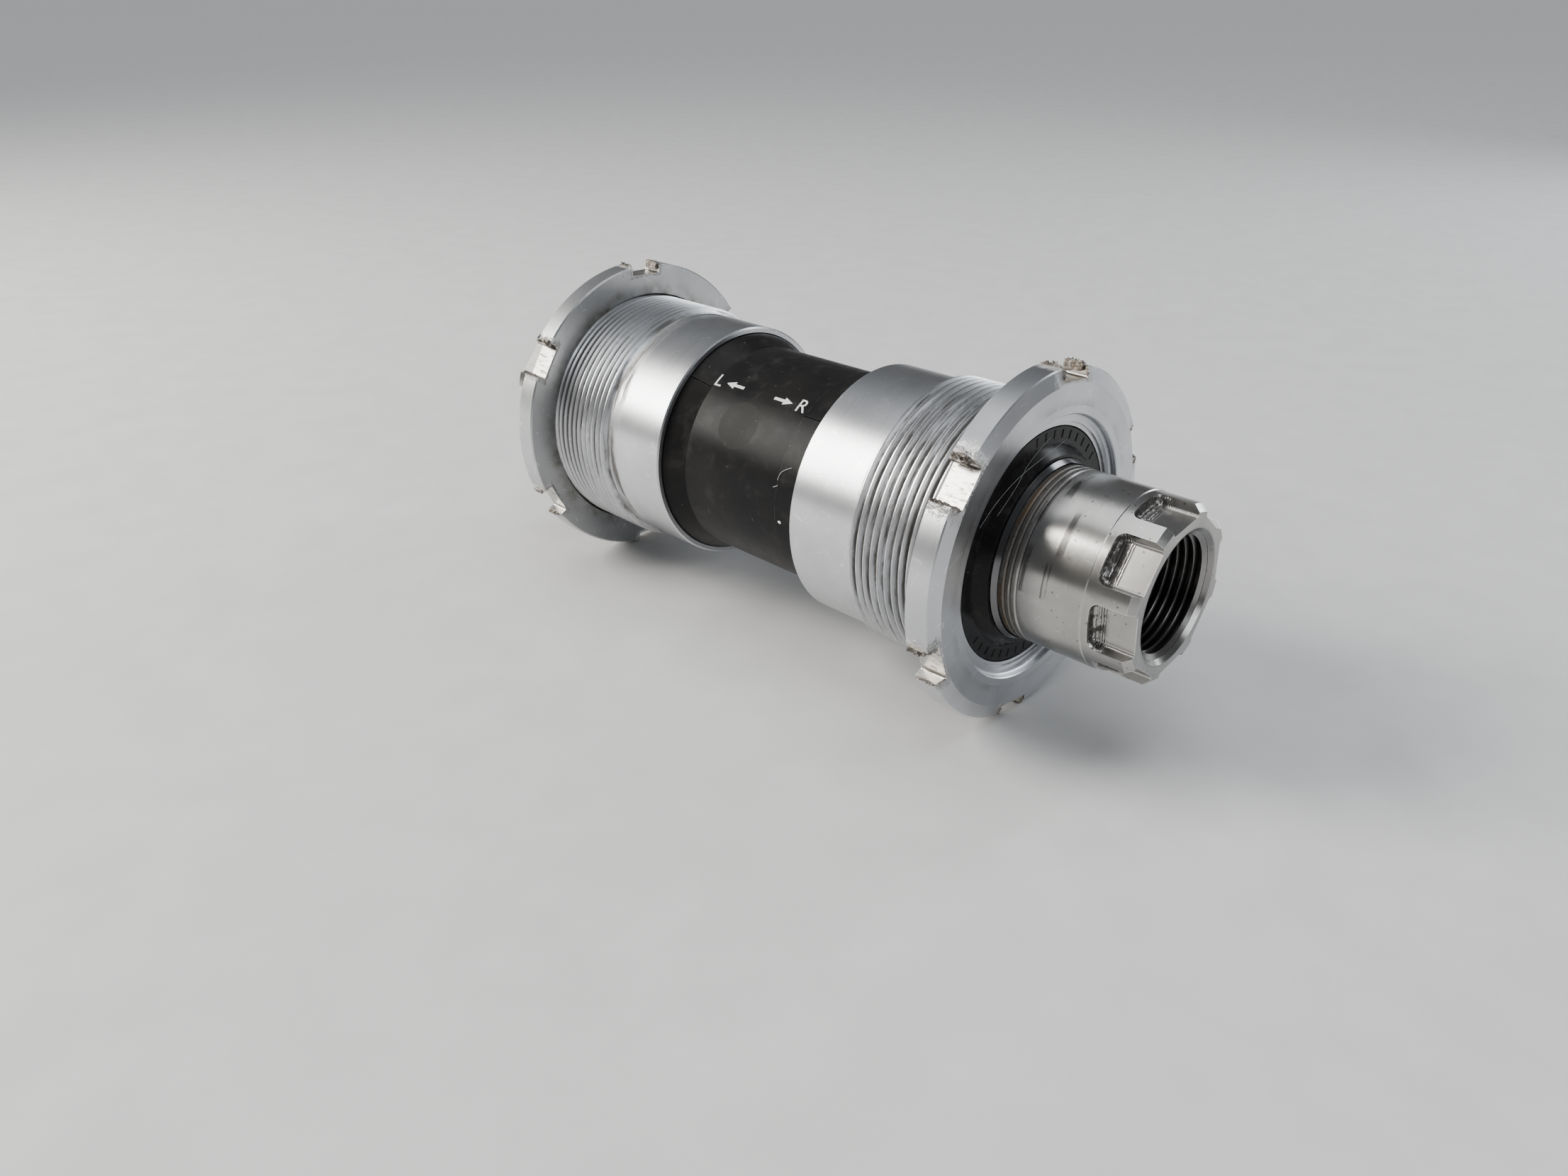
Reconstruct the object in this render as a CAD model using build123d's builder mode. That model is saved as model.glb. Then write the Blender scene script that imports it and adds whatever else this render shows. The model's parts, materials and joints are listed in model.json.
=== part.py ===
# A splined-spindle bottom bracket, 68 mm shell, with needle and ball bearings in each cup.
# The spindle lies along Y: the drive side, called right, is at -Y and the left side at +Y.
# The origin is the middle of the spindle, which is also the middle of the frame shell.
# Radii and distances are millimetres. "out" is a distance from the middle towards one end.
from build123d import *
from math import floor
import os

os.makedirs("parts", exist_ok=True)

RIGHT, LEFT = -1, 1
SIDE_NAMES = {RIGHT: "right", LEFT: "left"}

# ---- the bicycle standards that this part meets -------------------------------------------
shell_width = 68.0
shell_thread_radius = 17.4
shell_thread_pitch = 25.4 / 24
shell_thread_depth = 0.65
bolt_thread_radius = 7.5
bolt_thread_pitch = 1.0
bolt_thread_depth = 0.54

# ---- spindle ------------------------------------------------------------------------------
spindle_length = 109.5
spindle_radius = 10.65
spline_count = 8
spline_tip_radius = 10.55
spline_zone_length = 5.85
spline_groove_length = 4.9
spline_groove_floor = 8.95
spline_floor_width = 5.2
spline_mouth_width = 6.4
spline_floor_fillet = 0.45
spline_end_fillet = 1.0
spline_tooth_angle = 30.0
spindle_end_chamfer = 0.75
bolt_thread_length = 12.0
bolt_mouth_chamfer = 0.5
bore_radius = 7.7
seal_groove_places = (0.75, 1.5, 2.3)
seal_groove_width = 0.36
seal_groove_depth = 0.1
waist_radius = 9.6
waist_taper = 2.5
waist_margin = 1.1
needle_journal_radius = 11.0
cone_seat_radius = 10.75

# ---- cups: lengths are measured from the end face of the frame shell -----------------------
cup_body_radius = 16.63
cup_edge_chamfer = 0.2
right_thread_length = 12.3
left_thread_length = 10.2
thread_relief = 1.0
right_socket_depth = 3.9
left_socket_depth = 2.7
flange_height = 4.4
flange_rim = 3.1
flange_dome = 0.52
flange_slope_width = 1.9
flange_edge_bevel = 0.15
flange_root_bevel = 0.5
flange_root_clearance = 0.05
mouth_radius = 16.3
mouth_depth = 1.0
mouth_edge_chamfer = 0.12
mouth_corner = 0.4
mouth_floor_radius = 15.3
left_cup_stickout = 5.0
left_mouth_radius = 15.2
tool_slot_count = 8
tool_slot_width = 3.0
tool_slot_depth = 1.6

# ---- notches for the cup spanner -------------------------------------------------------------
notch_count = 6
notch_corner = 0.3
flange_notch_width = 5.3
flange_notch_depth = 1.6
flange_notch_angle = 21.7
ring_notch_width = 5.0
ring_notch_depth = 1.4
ring_notch_angle = 27.5

# ---- lock ring ---------------------------------------------------------------------------------
ring_wall = 4.6
ring_thickness = 3.1
ring_gap = 0.4
ring_mouth_flare = 0.3
ring_mouth_depth = 0.25
ring_thread_clearance = 0.1
ring_edge_bevel = 0.2

# ---- needle bearing ----------------------------------------------------------------------------
needle_count = 18
needle_radius = 0.9
needle_length = 9.0
needle_clearance = 0.05
needle_race_wall = 1.9
needle_race_length = 11.2
needle_race_lip = 0.35
needle_race_gap = 1.5
needle_cage_thickness = 1.0
needle_cage_length = 10.2
pocket_clearance = 0.12
retaining_ring_width = 1.0
retaining_ring_gap = 0.05
retaining_ring_bite = 0.4
retaining_ring_height = 1.3

# ---- ball bearing and cone ------------------------------------------------------------------------
ball_count = 17
ball_radius = 25.4 * 7 / 64 / 2
ball_circle_radius = 12.75
ball_inset = 2.6
ball_clearance = 0.03
ball_race_wall = 0.261
ball_race_depth = 3.2
ball_race_land = 12.1
track_edge = 0.2
ball_cage_back = 2.1
ball_cage_rim_length = 1.35
ball_cage_rim_wall = 1.2
ball_cage_front = 0.3
ball_cage_wall = 0.8
ball_cage_bend = 0.4
ball_cage_land = 12.3
cone_gap = 0.2
cone_shoulder_radius = 12.7
cone_shoulder_length = 1.3
cone_sleeve_radius = 11.2
cone_reach = 7.1
cone_end_chamfer = 0.6
cone_tip_wall = 0.05

# ---- covers and seals ----------------------------------------------------------------------------
web_thickness = 0.9
web_hole_radius = 12.3
cover_radius = 14.7
cover_thickness = 0.85
cover_edge_chamfer = 0.15
cover_bore_radius = 12.9
cover_clearance = 0.05
seal_root_width = 0.3
seal_lip_height = 1.4
seal_lip_width = 0.35
seal_lip_land = 0.6
seal_lip_clearance = 0.06

# ---- inner sleeve and its o-rings ------------------------------------------------------------------
socket_radius = 15.9
sleeve_radius = 14.5
sleeve_wall = 1.3
sleeve_band_radius = 14.7
sleeve_band_length = 3.2
sleeve_neck_length = 1.1
sleeve_flare_length = 3.3
seam_width = 0.16
seam_depth = 0.22
seam_angle = 129.0
sleeve_plug_clearance = 0.15
sleeve_plug_gap = 0.4
sleeve_plug_wall = 1.6
o_ring_section = 0.42
o_ring_setback = 1.3
o_ring_clearance = 0.06

# ---- places that follow from the sizes above ---------------------------------------------------------
half_shell = shell_width / 2
half_spindle = spindle_length / 2
flange_front = half_shell + flange_rim
flange_face = flange_front + flange_dome
thread_root_radius = shell_thread_radius - shell_thread_depth
right_thread_start = half_shell - right_thread_length
left_thread_start = half_shell - left_thread_length
flange_radius = shell_thread_radius + flange_height
flange_face_radius = flange_radius - flange_slope_width
flange_notch_floor = flange_radius - flange_notch_depth
ring_radius = shell_thread_radius + ring_wall
ring_bore_mouth = shell_thread_radius + ring_mouth_flare
ring_notch_floor = ring_radius - ring_notch_depth
ring_inner_face = half_shell + ring_gap
ring_outer_face = ring_inner_face + ring_thickness
left_cup_outer_end = half_shell + left_cup_stickout

ball_out = half_shell - ball_inset
ball_track_radius = ball_radius + ball_clearance
ball_race_radius = ball_circle_radius + ball_radius + ball_race_wall
ball_race_end = ball_out + ball_race_depth
cone_start = ball_out - ball_radius - cone_shoulder_length - track_edge
cone_end = ball_out + cone_reach
cover_seat = ball_race_end + web_thickness
cover_face = cover_seat + cover_thickness
seal_lip_end = cover_face + seal_lip_height

needle_circle_radius = needle_journal_radius + needle_clearance + needle_radius
needle_track_radius = needle_circle_radius + needle_radius + needle_clearance
needle_seat_radius = needle_track_radius + needle_race_wall
needle_race_end = cone_start - cone_gap
needle_race_start = needle_race_end - needle_race_length
needle_mid = needle_race_end - needle_race_length / 2
needle_cage_inner = needle_circle_radius - needle_cage_thickness / 2
needle_cage_outer = needle_circle_radius + needle_cage_thickness / 2
race_lip_radius = needle_cage_outer + pocket_clearance
retaining_ring_start = needle_race_start - retaining_ring_gap - retaining_ring_width
retaining_groove_radius = needle_seat_radius + retaining_ring_bite
waist_half_length = needle_race_start - waist_margin - waist_taper

socket_floor = needle_race_start - needle_race_gap
right_cup_end = socket_floor - right_socket_depth
left_cup_end = socket_floor - left_socket_depth
plug_radius = socket_radius - sleeve_plug_clearance
plug_bore = plug_radius - sleeve_plug_wall
sleeve_bore = sleeve_radius - sleeve_wall
sleeve_plug_end = socket_floor - sleeve_plug_gap
sleeve_band_end = right_cup_end - sleeve_neck_length
sleeve_band_start = sleeve_band_end - sleeve_band_length
sleeve_flare_start = left_cup_end - sleeve_flare_length
o_ring_out = sleeve_plug_end - o_ring_setback
o_ring_floor = socket_radius - o_ring_clearance - 2 * o_ring_section


def across(out):
    """Plane square to the spindle at y = out, with its own x along X and y along Z."""
    return Plane.XZ.offset(-out)


def outline(points, side):
    """Closed flat outline of (radius, out) points, ready to revolve about the spindle axis."""
    with BuildSketch(Plane.XY) as section:
        with BuildLine():
            Polyline(*[(radius, side * out) for radius, out in points], close=True)
        make_face()
    return section.sketch


def disc(circle_radius, out, section_radius, side):
    """Round section centred at (circle_radius, out), ready to revolve into a ring."""
    with BuildSketch(Plane.XY) as section:
        with Locations((circle_radius, side * out)):
            Circle(section_radius)
    return section.sketch


def rings(part, radius):
    """Circular edges of that radius, from the lowest Y to the highest."""
    circles = part.edges().filter_by(GeomType.CIRCLE)
    return circles.filter_by(lambda edge: abs(edge.radius - radius) < 0.001).sort_by(Axis.Y)


def finish(part, label):
    """Label a finished piece and write it."""
    part.label = label
    export_step(part, f"parts/{label}.step")


def thread_outline(root, crest, start, stop, pitch):
    """(radius, out) points along whole thread rings between start and stop."""
    flat = pitch / 8
    points = []
    for turn_number in range(floor((stop - start) / pitch + 1e-6)):
        foot = start + turn_number * pitch
        points.append((root, foot + flat / 2))
        points.append((crest, foot + (pitch - flat) / 2))
        points.append((crest, foot + (pitch + flat) / 2))
        points.append((root, foot + pitch - flat / 2))
    return points


def groove_outline(radius, depth, width, places):
    """(radius, out) points of shallow V grooves turned at the given places."""
    points = []
    for place in places:
        points.append((radius, place - width / 2))
        points.append((radius - depth, place))
        points.append((radius, place + width / 2))
    return points


def notches(out, floor_radius, rim_radius, width, first_angle):
    """Outlines of the spanner notches of a rim, on the plane at out."""
    height = 2 * (rim_radius - floor_radius)
    with BuildSketch(across(out)) as cuts:
        with PolarLocations(floor_radius + height / 2, notch_count, start_angle=first_angle):
            RectangleRounded(height, width, notch_corner)
    return cuts.sketch


def cup_interior(cup_end):
    """(radius, out) points of a cup's bore, from the dust cover's seat in to its inner end."""
    ring_start = retaining_ring_start - retaining_ring_gap
    ring_stop = retaining_ring_start + retaining_ring_width + retaining_ring_gap
    return [
        (cover_radius + cover_clearance, cover_face),
        (cover_radius + cover_clearance, cover_seat),
        (web_hole_radius, cover_seat),
        (web_hole_radius, ball_race_end),
        (ball_race_radius, ball_race_end),
        (ball_race_radius, needle_race_end),
        (needle_seat_radius, needle_race_end),
        (needle_seat_radius, ring_stop),
        (retaining_groove_radius, ring_stop),
        (retaining_groove_radius, ring_start),
        (needle_seat_radius, ring_start),
        (needle_seat_radius, socket_floor),
        (socket_radius, socket_floor),
        (socket_radius, cup_end),
    ]


# ---- right cup, fixed: flange, left-hand shell thread, bearing seats ---------------------------------
right_cup_outside = [
    (cup_body_radius - cup_edge_chamfer, right_cup_end),
    (cup_body_radius, right_cup_end + cup_edge_chamfer),
    (cup_body_radius, right_thread_start),
    *thread_outline(thread_root_radius, shell_thread_radius, right_thread_start,
                    half_shell - thread_relief, shell_thread_pitch),
    (cup_body_radius, half_shell - thread_relief),
    (cup_body_radius, half_shell - flange_root_bevel),
    (shell_thread_radius + flange_root_clearance, half_shell),
    (flange_radius - flange_edge_bevel, half_shell),
    (flange_radius, half_shell + flange_edge_bevel),
    (flange_radius, flange_front - flange_edge_bevel),
    (flange_radius - flange_edge_bevel, flange_front),
    (flange_face_radius, flange_face),
]
right_mouth = [
    (mouth_radius, flange_face),
    (mouth_radius, flange_face - mouth_depth),
    (mouth_floor_radius, flange_face - mouth_depth),
    (mouth_floor_radius, cover_face),
]
with BuildPart() as right_cup:
    revolve(outline(right_cup_outside + right_mouth + cup_interior(right_cup_end), RIGHT),
            axis=Axis.Y)
    extrude(notches(-flange_face, flange_notch_floor, flange_radius, flange_notch_width,
                    flange_notch_angle), amount=half_shell - flange_face, mode=Mode.SUBTRACT)
    chamfer(rings(right_cup, mouth_radius)[0], length=mouth_edge_chamfer)
    fillet(rings(right_cup, mouth_radius)[-1], radius=mouth_corner)
finish(right_cup.part, "right_cup")

# ---- left cup, adjustable: threaded out to its end so that the lock ring can come off -----------------
left_cup_outside = [
    (cup_body_radius - cup_edge_chamfer, left_cup_end),
    (cup_body_radius, left_cup_end + cup_edge_chamfer),
    (cup_body_radius, left_thread_start),
    *thread_outline(thread_root_radius, shell_thread_radius, left_thread_start,
                    left_cup_outer_end - cup_edge_chamfer, shell_thread_pitch),
    (thread_root_radius - cup_edge_chamfer, left_cup_outer_end),
]
left_mouth = [
    (left_mouth_radius, left_cup_outer_end),
    (left_mouth_radius, cover_face),
]
with BuildPart() as left_cup:
    revolve(outline(left_cup_outside + left_mouth + cup_interior(left_cup_end), LEFT), axis=Axis.Y)
    with BuildSketch(across(left_cup_outer_end)):
        with PolarLocations(cup_body_radius, tool_slot_count):
            Rectangle(4 * tool_slot_depth, tool_slot_width)
    extrude(amount=tool_slot_depth, mode=Mode.SUBTRACT)
finish(left_cup.part, "left_cup")

# ---- lock ring, threaded on the left cup ------------------------------------------------------------
first_turn = floor((ring_inner_face - left_thread_start) / shell_thread_pitch)
ring_thread_start = left_thread_start + first_turn * shell_thread_pitch
ring_outside = [
    (ring_bore_mouth, ring_inner_face),
    (ring_radius - ring_edge_bevel, ring_inner_face),
    (ring_radius, ring_inner_face + ring_edge_bevel),
    (ring_radius, ring_outer_face - ring_edge_bevel),
    (ring_radius - ring_edge_bevel, ring_outer_face),
    (ring_bore_mouth, ring_outer_face),
]
ring_thread = thread_outline(thread_root_radius + ring_thread_clearance,
                             shell_thread_radius + ring_thread_clearance,
                             ring_thread_start, ring_outer_face + shell_thread_pitch / 2,
                             shell_thread_pitch)
ring_thread = [point for point in ring_thread[2:-2]
               if ring_inner_face + ring_mouth_depth < point[1] < ring_outer_face - ring_mouth_depth]
with BuildPart() as lock_ring:
    revolve(outline(ring_outside + ring_thread[::-1], LEFT), axis=Axis.Y)
    extrude(notches(ring_inner_face, ring_notch_floor, ring_radius, ring_notch_width,
                    ring_notch_angle), amount=-ring_thickness, mode=Mode.SUBTRACT)
finish(lock_ring.part, "lock_ring")

# ---- inner sleeve, a moulded tube that joins the cups and keeps grit off the bearings -------------------
sleeve_outline = [
    (plug_radius, -sleeve_plug_end),
    (plug_radius, -right_cup_end),
    (sleeve_band_radius, -sleeve_band_end),
    (sleeve_band_radius, -sleeve_band_start),
    (sleeve_radius, -sleeve_band_start),
    (sleeve_radius, sleeve_flare_start),
    (plug_radius, left_cup_end - sleeve_plug_clearance),
    (plug_radius, sleeve_plug_end),
    (plug_bore, sleeve_plug_end),
    (plug_bore, left_cup_end),
    (sleeve_bore, sleeve_flare_start),
    (sleeve_bore, -sleeve_band_start),
    (plug_bore, -right_cup_end),
    (plug_bore, -sleeve_plug_end),
]
o_ring_groove = [
    (o_ring_floor, o_ring_out - o_ring_section),
    (socket_radius, o_ring_out - o_ring_section),
    (socket_radius, o_ring_out + o_ring_section),
    (o_ring_floor, o_ring_out + o_ring_section),
]
with BuildPart() as inner_sleeve:
    revolve(outline(sleeve_outline, LEFT), axis=Axis.Y)
    for side in (RIGHT, LEFT):
        revolve(outline(o_ring_groove, side), axis=Axis.Y, mode=Mode.SUBTRACT)
    seam_reach = plug_radius - sleeve_radius + seam_depth
    for start, length in ((-right_cup_end, sleeve_neck_length + sleeve_band_length),
                          (sleeve_flare_start, sleeve_flare_length)):
        with BuildSketch(across(start)):
            with PolarLocations(sleeve_radius - seam_depth + seam_reach / 2, 1, start_angle=seam_angle):
                Rectangle(seam_reach, seam_width)
        extrude(amount=-length, mode=Mode.SUBTRACT)
finish(inner_sleeve.part, "inner_sleeve")

# ---- spindle: hollow, splined and threaded at both ends, ground for the bearings -------------------------
end_half_outline = [
    (waist_radius, waist_half_length),
    (needle_journal_radius, waist_half_length + waist_taper),
    (needle_journal_radius, cone_start),
    (cone_seat_radius, cone_start),
    (cone_seat_radius, cone_end - cone_end_chamfer),
    (spindle_radius, cone_end),
    *groove_outline(spindle_radius, seal_groove_depth, seal_groove_width,
                    [cone_end + place for place in seal_groove_places]),
    (spindle_radius, half_spindle - spline_zone_length),
    (spline_tip_radius, half_spindle - spline_zone_length + spindle_radius - spline_tip_radius),
    (spline_tip_radius, half_spindle - spindle_end_chamfer),
    (spline_tip_radius - spindle_end_chamfer, half_spindle),
    (bolt_thread_radius + bolt_mouth_chamfer, half_spindle),
]
bolt_thread = thread_outline(bolt_thread_radius, bolt_thread_radius - bolt_thread_depth,
                             half_spindle - bolt_mouth_chamfer - bolt_thread_length,
                             half_spindle - bolt_mouth_chamfer, bolt_thread_pitch)
bore_outline = [
    (bolt_thread_radius, half_spindle - bolt_mouth_chamfer),
    *bolt_thread[::-1],
    (bore_radius, half_spindle - bolt_mouth_chamfer - bolt_thread_length),
]
spindle_half = end_half_outline + bore_outline
far_half = [(radius, -out) for radius, out in spindle_half[::-1]]

wall_slope = (spline_mouth_width - spline_floor_width) / 2 / (spline_tip_radius - spline_groove_floor)
cutter_top = spindle_radius + 1
cutter_half_width = spline_floor_width / 2 + wall_slope * (cutter_top - spline_groove_floor)

with BuildPart() as spline_cutter:
    with BuildSketch(across(-half_spindle)):
        with BuildLine():
            Polyline((spline_groove_floor, -spline_floor_width / 2),
                     (cutter_top, -cutter_half_width),
                     (cutter_top, cutter_half_width),
                     (spline_groove_floor, spline_floor_width / 2), close=True)
        make_face()
    extrude(amount=-spline_groove_length)
    floor_face = spline_cutter.faces().sort_by(Axis.X)[0]
    fillet(floor_face.edges().filter_by(Axis.Y), radius=spline_floor_fillet)
    inner_face = spline_cutter.faces().sort_by(Axis.Y)[-1]
    fillet(inner_face.edges().sort_by(Axis.X)[0:3], radius=spline_end_fillet)

with BuildPart() as spindle:
    revolve(outline(spindle_half + far_half, LEFT), axis=Axis.Y)
    first_groove = spline_tooth_angle + 180 / spline_count
    for side in (RIGHT, LEFT):
        cutter = spline_cutter.part if side == RIGHT else spline_cutter.part.mirror(Plane.XZ)
        for groove in range(spline_count):
            angle = first_groove + groove * 360 / spline_count
            add(cutter.rotate(Axis.Y, -angle), mode=Mode.SUBTRACT)
finish(spindle.part, "spindle")

# ---- the pieces that both sides have ------------------------------------------------------------------
ring_inner = retaining_groove_radius - retaining_ring_height
track_corner = ball_circle_radius + ball_radius
ball_cage_outer = ball_race_radius - track_edge
seal_bore = cone_sleeve_radius + seal_lip_clearance

for side in (RIGHT, LEFT):
    name = SIDE_NAMES[side]

    # cone: bears on the balls with its shoulder, and the seal lip runs on its sleeve
    with BuildPart() as cone:
        revolve(outline([(cone_seat_radius, cone_start),
                         (cone_shoulder_radius, cone_start),
                         (cone_shoulder_radius, cone_start + cone_shoulder_length),
                         (cone_sleeve_radius, ball_out),
                         (cone_sleeve_radius, cone_end - cone_end_chamfer),
                         (cone_seat_radius + cone_tip_wall, cone_end),
                         (cone_seat_radius, cone_end - cone_tip_wall)], side), axis=Axis.Y)
        revolve(disc(ball_circle_radius, ball_out, ball_track_radius, side), axis=Axis.Y,
                mode=Mode.SUBTRACT)
    finish(cone.part, f"{name}_cone")

    # ball race: pressed against the web of the cup, its track faces the middle
    with BuildPart() as ball_race:
        revolve(outline([(ball_race_radius, ball_race_end),
                         (ball_race_land, ball_race_end),
                         (ball_race_land, ball_out + ball_radius + track_edge),
                         (track_corner, ball_out - track_edge),
                         (ball_race_radius, ball_out - track_edge)], side), axis=Axis.Y)
        revolve(disc(ball_circle_radius, ball_out, ball_track_radius, side), axis=Axis.Y,
                mode=Mode.SUBTRACT)
    finish(ball_race.part, f"{name}_ball_race")

    with BuildPart(across(side * ball_out)) as balls:
        with PolarLocations(ball_circle_radius, ball_count):
            Sphere(ball_radius)
    finish(balls.part, f"{name}_balls")

    # ball cage: pressed sheet with a rim on the middle's side and a lip in front of the balls
    with BuildPart() as ball_cage:
        revolve(outline([(ball_cage_outer - ball_cage_rim_wall, ball_out - ball_cage_back),
                         (ball_cage_outer, ball_out - ball_cage_back),
                         (ball_cage_outer, ball_out - ball_cage_back + ball_cage_rim_length),
                         (ball_circle_radius + ball_cage_bend, ball_out + ball_cage_front),
                         (ball_cage_land, ball_out + ball_cage_front),
                         (ball_cage_land, ball_out + ball_cage_front - ball_cage_wall)], side),
                axis=Axis.Y)
        with Locations(across(side * ball_out)):
            with PolarLocations(ball_circle_radius, ball_count):
                Sphere(ball_radius + pocket_clearance, mode=Mode.SUBTRACT)
    finish(ball_cage.part, f"{name}_ball_cage")

    # needle race: a hardened ring with a lip at each end that keeps the cage in
    with BuildPart() as needle_race:
        revolve(outline([(needle_seat_radius, needle_race_start),
                         (needle_seat_radius, needle_race_end),
                         (race_lip_radius, needle_race_end),
                         (race_lip_radius, needle_race_end - needle_race_lip),
                         (needle_track_radius, needle_race_end - needle_race_lip),
                         (needle_track_radius, needle_race_start + needle_race_lip),
                         (race_lip_radius, needle_race_start + needle_race_lip),
                         (race_lip_radius, needle_race_start)], side), axis=Axis.Y)
    finish(needle_race.part, f"{name}_needle_race")

    with BuildPart(across(side * needle_mid)) as needles:
        with PolarLocations(needle_circle_radius, needle_count):
            Cylinder(needle_radius, needle_length)
    finish(needles.part, f"{name}_needles")

    with BuildPart(across(side * needle_mid)) as needle_cage:
        Cylinder(needle_cage_outer, needle_cage_length)
        Cylinder(needle_cage_inner, needle_cage_length, mode=Mode.SUBTRACT)
        with PolarLocations(needle_circle_radius, needle_count):
            Box(2 * needle_cage_thickness, 2 * (needle_radius + pocket_clearance),
                needle_length + 2 * pocket_clearance, mode=Mode.SUBTRACT)
    finish(needle_cage.part, f"{name}_needle_cage")

    # retaining ring: an open spring ring in a groove of the cup, inboard of the needle race
    with BuildPart(across(side * (retaining_ring_start + retaining_ring_width / 2))) as retaining_ring:
        Cylinder(retaining_groove_radius - retaining_ring_gap, retaining_ring_width)
        Cylinder(ring_inner, retaining_ring_width, mode=Mode.SUBTRACT)
        with Locations((0, -retaining_groove_radius)):
            Box(ring_inner / 2, retaining_groove_radius, retaining_ring_width, mode=Mode.SUBTRACT)
    finish(retaining_ring.part, f"{name}_retaining_ring")

    # dust cover: a moulded ring that snaps into the mouth of the cup
    with BuildPart() as dust_cover:
        revolve(outline([(cover_radius, cover_seat),
                         (cover_radius, cover_face - cover_edge_chamfer),
                         (cover_radius - cover_edge_chamfer, cover_face),
                         (cover_bore_radius, cover_face),
                         (cover_bore_radius, cover_seat)], side), axis=Axis.Y)
    finish(dust_cover.part, f"{name}_dust_cover")

    # seal: a rubber lip that rises from the dust cover to run on the cone's sleeve
    with BuildPart() as seal:
        revolve(outline([(cover_bore_radius, cover_seat),
                         (cover_bore_radius, cover_face),
                         (cover_bore_radius - seal_root_width, cover_face),
                         (seal_bore + seal_lip_width, seal_lip_end),
                         (seal_bore, seal_lip_end),
                         (seal_bore, seal_lip_end - seal_lip_land),
                         (web_hole_radius - seal_root_width, cover_seat)], side), axis=Axis.Y)
    finish(seal.part, f"{name}_seal")

    # o-ring: seals the sleeve's plug in the cup's socket
    with BuildPart() as o_ring:
        revolve(disc(o_ring_floor + o_ring_section, o_ring_out, o_ring_section, side), axis=Axis.Y)
    finish(o_ring.part, f"{name}_o_ring")
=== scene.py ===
import bmesh
import bpy
import json
import math
import random
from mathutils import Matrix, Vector, noise


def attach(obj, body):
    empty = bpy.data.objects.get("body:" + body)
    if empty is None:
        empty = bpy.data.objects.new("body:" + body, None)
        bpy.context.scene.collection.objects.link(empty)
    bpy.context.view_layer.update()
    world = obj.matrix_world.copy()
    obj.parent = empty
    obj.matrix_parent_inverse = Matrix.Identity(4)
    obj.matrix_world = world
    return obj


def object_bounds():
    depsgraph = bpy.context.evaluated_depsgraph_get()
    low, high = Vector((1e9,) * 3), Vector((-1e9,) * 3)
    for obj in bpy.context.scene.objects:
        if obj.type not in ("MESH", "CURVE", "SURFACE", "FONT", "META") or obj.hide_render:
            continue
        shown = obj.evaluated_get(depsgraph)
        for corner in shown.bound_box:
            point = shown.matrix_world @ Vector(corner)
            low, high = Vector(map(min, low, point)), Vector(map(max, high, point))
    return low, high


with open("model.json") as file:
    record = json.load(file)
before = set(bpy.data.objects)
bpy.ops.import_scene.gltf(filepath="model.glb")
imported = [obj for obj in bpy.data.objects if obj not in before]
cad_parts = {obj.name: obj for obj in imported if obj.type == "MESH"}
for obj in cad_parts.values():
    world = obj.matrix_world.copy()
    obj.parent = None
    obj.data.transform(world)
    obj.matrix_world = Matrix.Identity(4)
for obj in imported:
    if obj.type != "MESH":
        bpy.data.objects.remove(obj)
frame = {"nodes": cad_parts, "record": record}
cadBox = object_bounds()
mm = 0.001
print("frame loaded:", len(frame["nodes"]), "nodes")

view = {
    "place": (-0.10954, -0.10057, 0.06039),
    "azimuth": -46.04,    # degrees round the object, 0 looks along +Y
    "elevation": 28.14,
    "lens": 26.52,
    "nearest": 0.005,     # m, anything closer isn't drawn
}


def facing(back):
    # the turn that points a camera or a light away from back
    return Vector(back).to_track_quat("Z", "Y").to_euler()


def addObject(name, data):
    made = bpy.data.objects.new(name, data)
    bpy.context.scene.collection.objects.link(made)
    return made


def makeCamera():
    camera = addObject("camera", bpy.data.cameras.new("camera"))
    turn, lift = math.radians(view["azimuth"]), math.radians(view["elevation"])
    level = math.cos(lift)
    camera.rotation_euler = facing((math.sin(turn) * level, -math.cos(turn) * level, math.sin(lift)))
    camera.location = view["place"]
    camera.data.lens = view["lens"]
    camera.data.clip_start = view["nearest"]
    bpy.context.scene.camera = camera


lamps = {    # places and sizes in m, power in watts
    "key": {"place": (-0.34, 0.37, 0.33), "aim": (0, 0, 0), "size": (0.24, 0.36), "power": 5.6,
            "tint": (1.0, 0.965, 0.91)},
    "front": {"place": (-0.02, -0.60, 0.22), "aim": (0, -0.03, 0), "size": (0.30, 0.22), "power": 0.8,
              "tint": (0.92, 0.96, 1.0)},
    "rightEdge": {"place": (0.50, -0.16, 0.22), "aim": (0, 0, 0), "size": (0.12, 0.40), "power": 1.1,
                  "tint": (0.90, 0.95, 1.0)},
}
# a wide soft light far overhead, so the floor is lit the same all over
ceiling = {"strength": 1.5, "spread": 55.0, "place": (0.05, 0.05, 1.0), "tint": (0.96, 0.98, 1.0)}


def makeLamps():
    for name, lamp in lamps.items():
        light = bpy.data.lights.new(name, "AREA")
        light.shape = "RECTANGLE"
        light.size, light.size_y = lamp["size"]
        light.energy = lamp["power"]
        light.color = lamp["tint"]
        holder = addObject(name, light)
        holder.location = lamp["place"]
        holder.rotation_euler = facing(Vector(lamp["place"]) - Vector(lamp["aim"]))
    light = bpy.data.lights.new("ceiling", "SUN")
    light.energy = ceiling["strength"]
    light.angle = math.radians(ceiling["spread"])
    light.color = ceiling["tint"]
    addObject("ceiling", light).rotation_euler = facing(ceiling["place"])


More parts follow.
